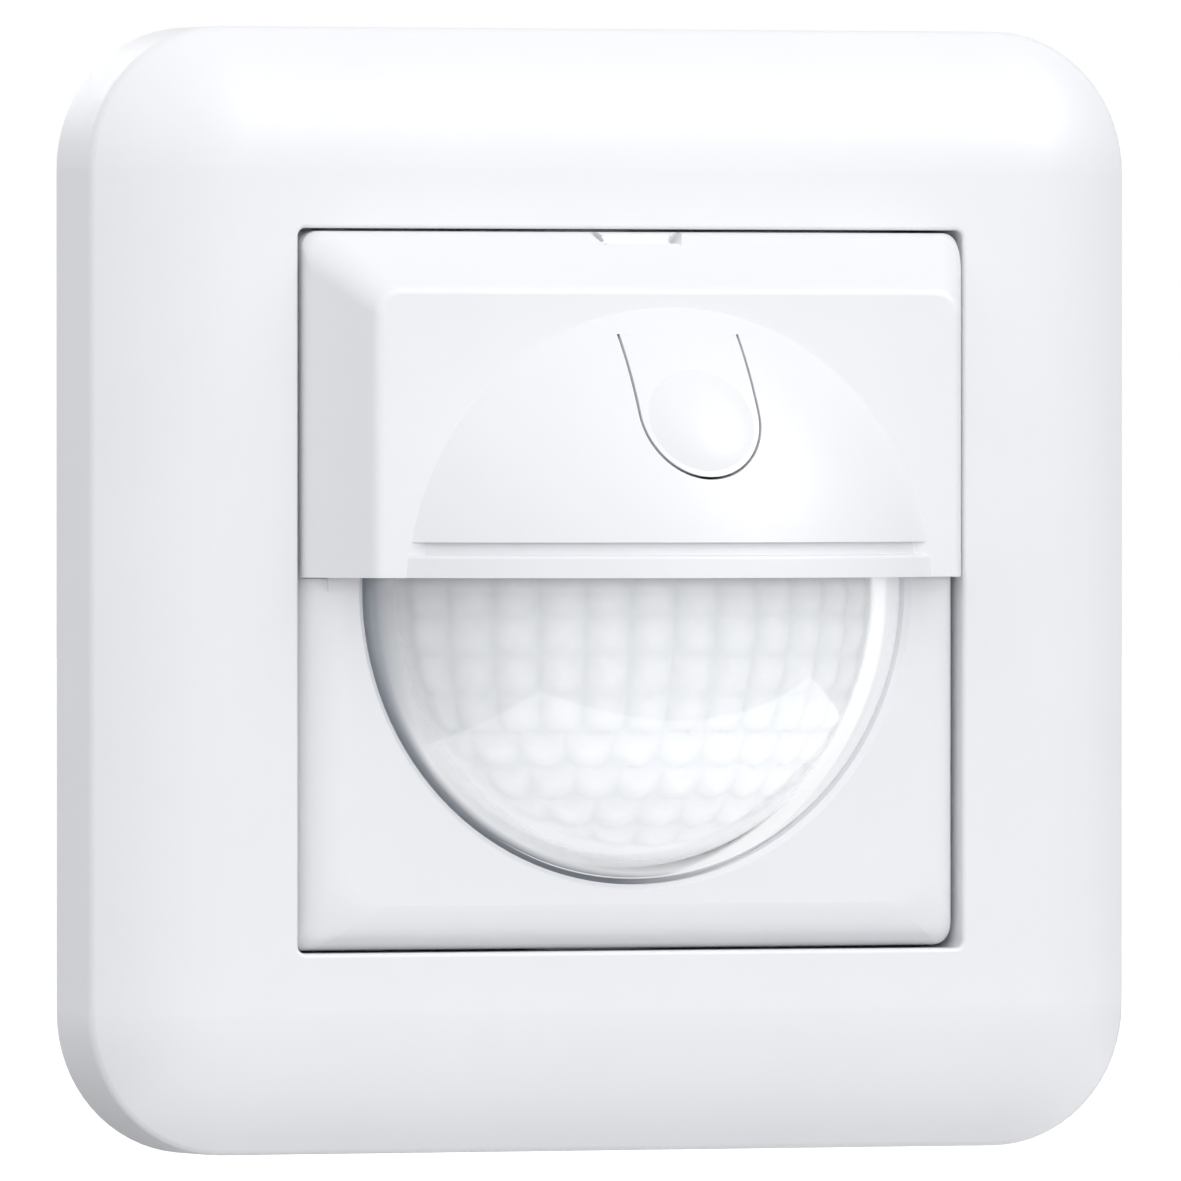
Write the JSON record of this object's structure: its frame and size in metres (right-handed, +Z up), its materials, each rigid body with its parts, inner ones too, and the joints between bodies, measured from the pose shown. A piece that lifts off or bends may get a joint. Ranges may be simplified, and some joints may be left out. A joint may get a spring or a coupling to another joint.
{
  "type": "motion sensor",
  "caption": "Flush wall switch with a domed infrared motion sensor: square cover frame, hood with push button over a translucent lens, and a wall box part with claws and terminals.",
  "frame": {"origin": "on the wall surface, at the centre of the circle of box screw holes in the support ring's back face", "axes": "front faces -Y, the wall box part runs to +Y, +Z up, +X to the right seen from the front"},
  "size_m": [0.081, 0.0601, 0.081],
  "materials": {
    "white_cover": "satin, very fine grain",
    "lens_film": "glossy translucent polyethylene",
    "white_inner": "satin",
    "zinc_steel": "zinc plated",
    "screw_steel": "zinc plated",
    "grey_shell": "fine texture",
    "grey_block": "satin",
    "key_plastic": "satin",
    "contact_brass": "bright",
    "board": "solder resist",
    "black_plastic": "satin",
    "relay_case": "semi gloss",
    "film_case": "semi gloss",
    "can_sleeve": "shrink sleeve",
    "varistor_coat": "dipped coating",
    "copper_wire": "enamelled copper",
    "fuse_tube": "ceramic",
    "sensor_can": "nickel plated",
    "dark_window": "polished filter",
    "clear_resin": "clear epoxy",
    "led_resin": "diffuse resin",
    "rod_plastic": "satin",
    "trimmer_blue": "satin",
    "dial_plastic": "satin"
  },
  "bodies": {
    "wall_part": {"cover_frame": "white_cover", "support_ring": "zinc_steel", "load_housing": "grey_shell", "load_cover": "grey_shell", "ring_screws": "screw_steel", "load_board": "board", "socket": "black_plastic", "relay": "relay_case", "film_capacitor": "film_case", "smoothing_capacitor": "can_sleeve", "varistor": "varistor_coat", "choke": "copper_wire", "fuse": "fuse_tube", "terminal_block": "grey_block", "contact_bars": "contact_brass", "clamp_springs": "zinc_steel"},
    "sensor_module": {"front_housing": "white_cover", "lens": "lens_film", "lens_retainer": "white_inner", "module_back": "white_inner", "module_screws": "screw_steel", "sensor_board": "board", "pir_holder": "black_plastic", "pir_can_left": "sensor_can", "pir_can_right": "sensor_can", "pir_window_left": "dark_window", "pir_window_right": "dark_window", "light_sensor": "clear_resin", "status_led": "led_resin", "switch_body": "black_plastic", "time_trimmer": "trimmer_blue", "brightness_trimmer": "trimmer_blue", "control_chip": "black_plastic", "board_chips": "black_plastic", "header_body": "black_plastic", "header_pins": "contact_brass"},
    "hood": {"hood": "white_cover"},
    "button": {"button_tongue": "white_cover"},
    "push_rod": {"push_rod": "rod_plastic"},
    "switch_plunger": {"switch_plunger": "rod_plastic"},
    "time_dial": {"time_dial": "dial_plastic"},
    "brightness_dial": {"brightness_dial": "dial_plastic"},
    "claw_right": {"claw_right": "zinc_steel"},
    "claw_screw_right": {"claw_screw_right": "screw_steel"},
    "claw_nut_right": {"claw_nut_right": "screw_steel"},
    "claw_left": {"claw_left": "zinc_steel"},
    "claw_screw_left": {"claw_screw_left": "screw_steel"},
    "claw_nut_left": {"claw_nut_left": "screw_steel"},
    "release_key_left": {"release_key_left": "key_plastic"},
    "release_key_middle": {"release_key_middle": "key_plastic"},
    "release_key_right": {"release_key_right": "key_plastic"}
  },
  "joints": [
    {"name": "module_unplug", "type": "slide", "parent": "wall_part", "child": "sensor_module", "axis": [0, -1, 0], "range_m": [0, 0.013]},
    {"name": "hood_pull", "type": "slide", "parent": "sensor_module", "child": "hood", "axis": [0, -1, 0], "range_m": [0, 0.013]},
    {"name": "button_press", "type": "hinge", "parent": "hood", "child": "button", "pos_m": [0, -0.01921, 0.0184], "axis": [1, 0, 0], "range_deg": [0, 2]},
    {"name": "push_rod_travel", "type": "slide", "parent": "sensor_module", "child": "push_rod", "axis": [0, 1, 0], "range_m": [0, 0.00022]},
    {"name": "switch_plunger_travel", "type": "slide", "parent": "sensor_module", "child": "switch_plunger", "axis": [0, 1, 0], "range_m": [0, 0.00022]},
    {"name": "time_dial_turn", "type": "hinge", "parent": "sensor_module", "child": "time_dial", "pos_m": [-0.0176, -0.012, 0.0172], "axis": [0, -1, 0], "range_deg": [-135, 135]},
    {"name": "brightness_dial_turn", "type": "hinge", "parent": "sensor_module", "child": "brightness_dial", "pos_m": [0.0176, -0.012, 0.0172], "axis": [0, -1, 0], "range_deg": [-135, 135]},
    {"name": "claw_screw_right_turn", "type": "hinge", "parent": "wall_part", "child": "claw_screw_right", "pos_m": [0.0234, 0, 0], "axis": [0, 1, 0], "range_deg": [0, 4320]},
    {"name": "claw_right_swing", "type": "hinge", "parent": "wall_part", "child": "claw_right", "pos_m": [0.0242, 0.0037, 0], "axis": [0, 0, -1], "range_deg": [0, 15]},
    {"name": "claw_nut_right_travel", "type": "slide", "parent": "wall_part", "child": "claw_nut_right", "axis": [0, -1, 0], "range_m": [0, 0.006]},
    {"name": "claw_screw_left_turn", "type": "hinge", "parent": "wall_part", "child": "claw_screw_left", "pos_m": [-0.0234, 0, 0], "axis": [0, 1, 0], "range_deg": [0, 4320]},
    {"name": "claw_left_swing", "type": "hinge", "parent": "wall_part", "child": "claw_left", "pos_m": [-0.0242, 0.0037, 0], "axis": [0, 0, 1], "range_deg": [0, 15]},
    {"name": "claw_nut_left_travel", "type": "slide", "parent": "wall_part", "child": "claw_nut_left", "axis": [0, -1, 0], "range_m": [0, 0.006]},
    {"name": "release_key_left_press", "type": "slide", "parent": "wall_part", "child": "release_key_left", "axis": [0, -1, 0], "range_m": [0, 0.0013]},
    {"name": "release_key_middle_press", "type": "slide", "parent": "wall_part", "child": "release_key_middle", "axis": [0, -1, 0], "range_m": [0, 0.0013]},
    {"name": "release_key_right_press", "type": "slide", "parent": "wall_part", "child": "release_key_right", "axis": [0, -1, 0], "range_m": [0, 0.0013]}
  ],
  "couplings": [
    {"joint": "push_rod_travel", "follows": "button_press", "m_per_rad": 0.00605},
    {"joint": "switch_plunger_travel", "follows": "button_press", "m_per_rad": 0.00605},
    {"joint": "claw_screw_right_turn", "follows": "claw_nut_right_travel", "rad_per_m": 12566},
    {"joint": "claw_right_swing", "follows": "claw_nut_right_travel", "rad_per_m": 43.629},
    {"joint": "claw_screw_left_turn", "follows": "claw_nut_left_travel", "rad_per_m": 12566},
    {"joint": "claw_left_swing", "follows": "claw_nut_left_travel", "rad_per_m": 43.629}
  ]
}
